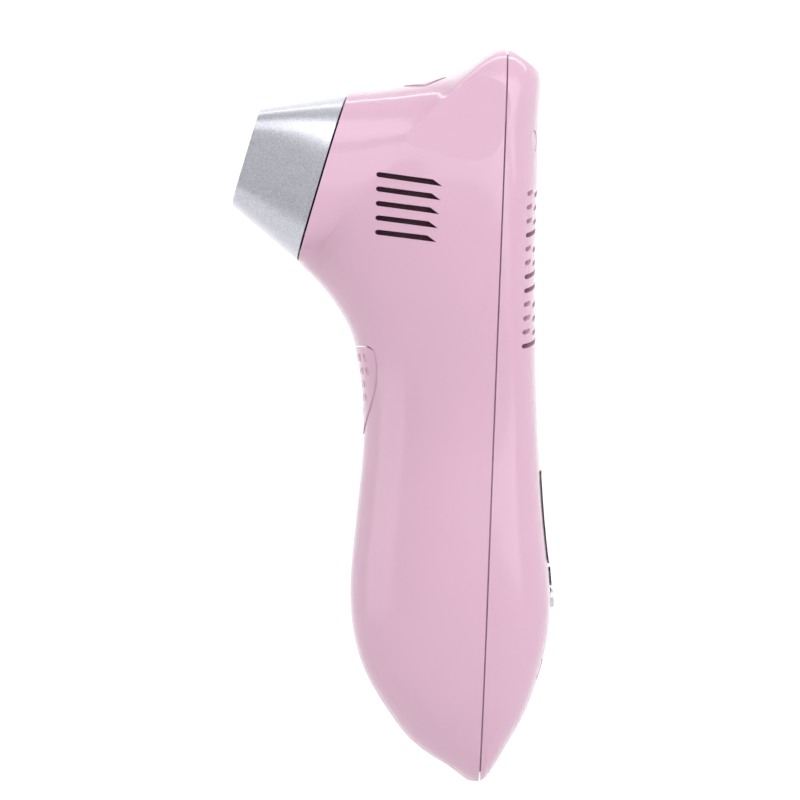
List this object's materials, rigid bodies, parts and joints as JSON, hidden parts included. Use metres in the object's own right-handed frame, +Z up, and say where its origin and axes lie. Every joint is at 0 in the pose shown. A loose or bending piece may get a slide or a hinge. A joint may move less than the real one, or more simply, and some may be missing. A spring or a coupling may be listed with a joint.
{
  "type": "pulsed light hair removal handset",
  "caption": "Hand-held pulsed-light hair removal device with a pink two-part grip, a detachable silver lamp head, a trigger, a release button, a cooling fan and a display.",
  "frame": {"origin": "centre of the bounding box", "axes": "+Z up the grip to the top edge, +X to the back of the handset, -X towards the lamp head, +Y sideways"},
  "size_m": [0.0873, 0.0532, 0.1904],
  "materials": {
    "pink_shell": "gloss",
    "silver_shroud": "satin metallic",
    "white_frame": "satin",
    "filter_glass": "polished",
    "lamp_quartz": "polished",
    "white_ceramic": "matte",
    "bright_aluminium": "polished",
    "black_plastic": "matte",
    "grey_plastic": "matte",
    "brass": "satin",
    "spring_steel": "satin",
    "board_green": "satin solder mask",
    "capacitor_sleeve": "satin",
    "saddle_foam": "matte",
    "ferrite": "matte",
    "coil_tape": "satin",
    "copper": "satin",
    "screen_nylon": "matte",
    "display_black": "gloss",
    "display_glass": "polished",
    "silver_rim": "polished",
    "lead_red": "satin",
    "lead_black": "satin"
  },
  "bodies": {
    "housing": {"front_shell": "pink_shell", "rear_shell": "pink_shell", "shell_screws": "spring_steel", "head_seat": "grey_plastic", "seat_nut_plates": "spring_steel", "contact_socket": "black_plastic", "socket_clips": "spring_steel", "socket_terminals": "brass", "release_spring": "spring_steel", "trigger_board": "board_green", "trigger_board_screws": "spring_steel", "trigger_switch": "black_plastic", "trigger_springs": "spring_steel", "display_lens": "display_black", "display_board": "board_green", "display_module": "display_glass", "key_domes": "spring_steel", "display_screws": "spring_steel", "main_board": "board_green", "board_screws": "spring_steel", "flash_capacitor": "capacitor_sleeve", "capacitor_saddle": "saddle_foam", "capacitor_legs": "spring_steel", "transformer_core": "ferrite", "transformer_coil": "coil_tape", "switching_transistor": "black_plastic", "transistor_cooler": "bright_aluminium", "control_chips": "black_plastic", "wire_headers": "white_frame", "fan_frame": "black_plastic", "fan_coil": "copper", "fan_screws": "spring_steel", "side_screen_left": "screen_nylon", "side_screen_right": "screen_nylon", "rear_screen": "screen_nylon", "inlet_body": "black_plastic", "inlet_pin": "brass", "inlet_terminals": "brass", "inlet_lead": "lead_red", "lamp_lead": "lead_red", "fan_lead": "lead_black", "trigger_lead": "lead_black"},
    "lamp_cartridge": {"head_shroud": "silver_shroud", "window_bezel": "white_frame", "filter_window": "filter_glass", "flash_lamp": "lamp_quartz", "lamp_holders": "white_ceramic", "reflector": "bright_aluminium", "cartridge_body": "black_plastic", "lamp_bridge": "black_plastic", "cartridge_pins": "brass"},
    "release": {"release_button": "pink_shell", "latch_arm": "spring_steel"},
    "trigger_lever": {"trigger": "pink_shell"},
    "level_key": {"level_button": "display_black"},
    "power_key": {"power_button": "silver_rim", "power_button_disc": "display_black"},
    "fan_wheel": {"fan_rotor": "grey_plastic", "fan_magnet": "ferrite"}
  },
  "joints": [
    {"name": "lamp_head_slide", "type": "slide", "parent": "housing", "child": "lamp_cartridge", "axis": [-0.9681, 0, 0.2504], "range_m": [0, 0.025]},
    {"name": "release_press", "type": "slide", "parent": "housing", "child": "release", "axis": [0, 0, -1], "range_m": [0, 0.001], "stiffness_N_per_m": 900, "deforming": ["release_spring"]},
    {"name": "trigger_press", "type": "slide", "parent": "housing", "child": "trigger_lever", "axis": [1, 0, 0], "range_m": [0, 0.0009], "stiffness_N_per_m": 1200, "deforming": ["trigger_springs"]},
    {"name": "level_key_press", "type": "slide", "parent": "housing", "child": "level_key", "axis": [-0.9934, 0, -0.1149], "range_m": [0, 0.0005], "stiffness_N_per_m": 1500},
    {"name": "power_key_press", "type": "slide", "parent": "housing", "child": "power_key", "axis": [-0.9934, 0, -0.1149], "range_m": [0, 0.0005], "stiffness_N_per_m": 1500},
    {"name": "fan_spin", "type": "hinge", "parent": "housing", "child": "fan_wheel", "pos_m": [0.03, 0, 0.038], "axis": [1, 0, 0], "continuous": true}
  ]
}
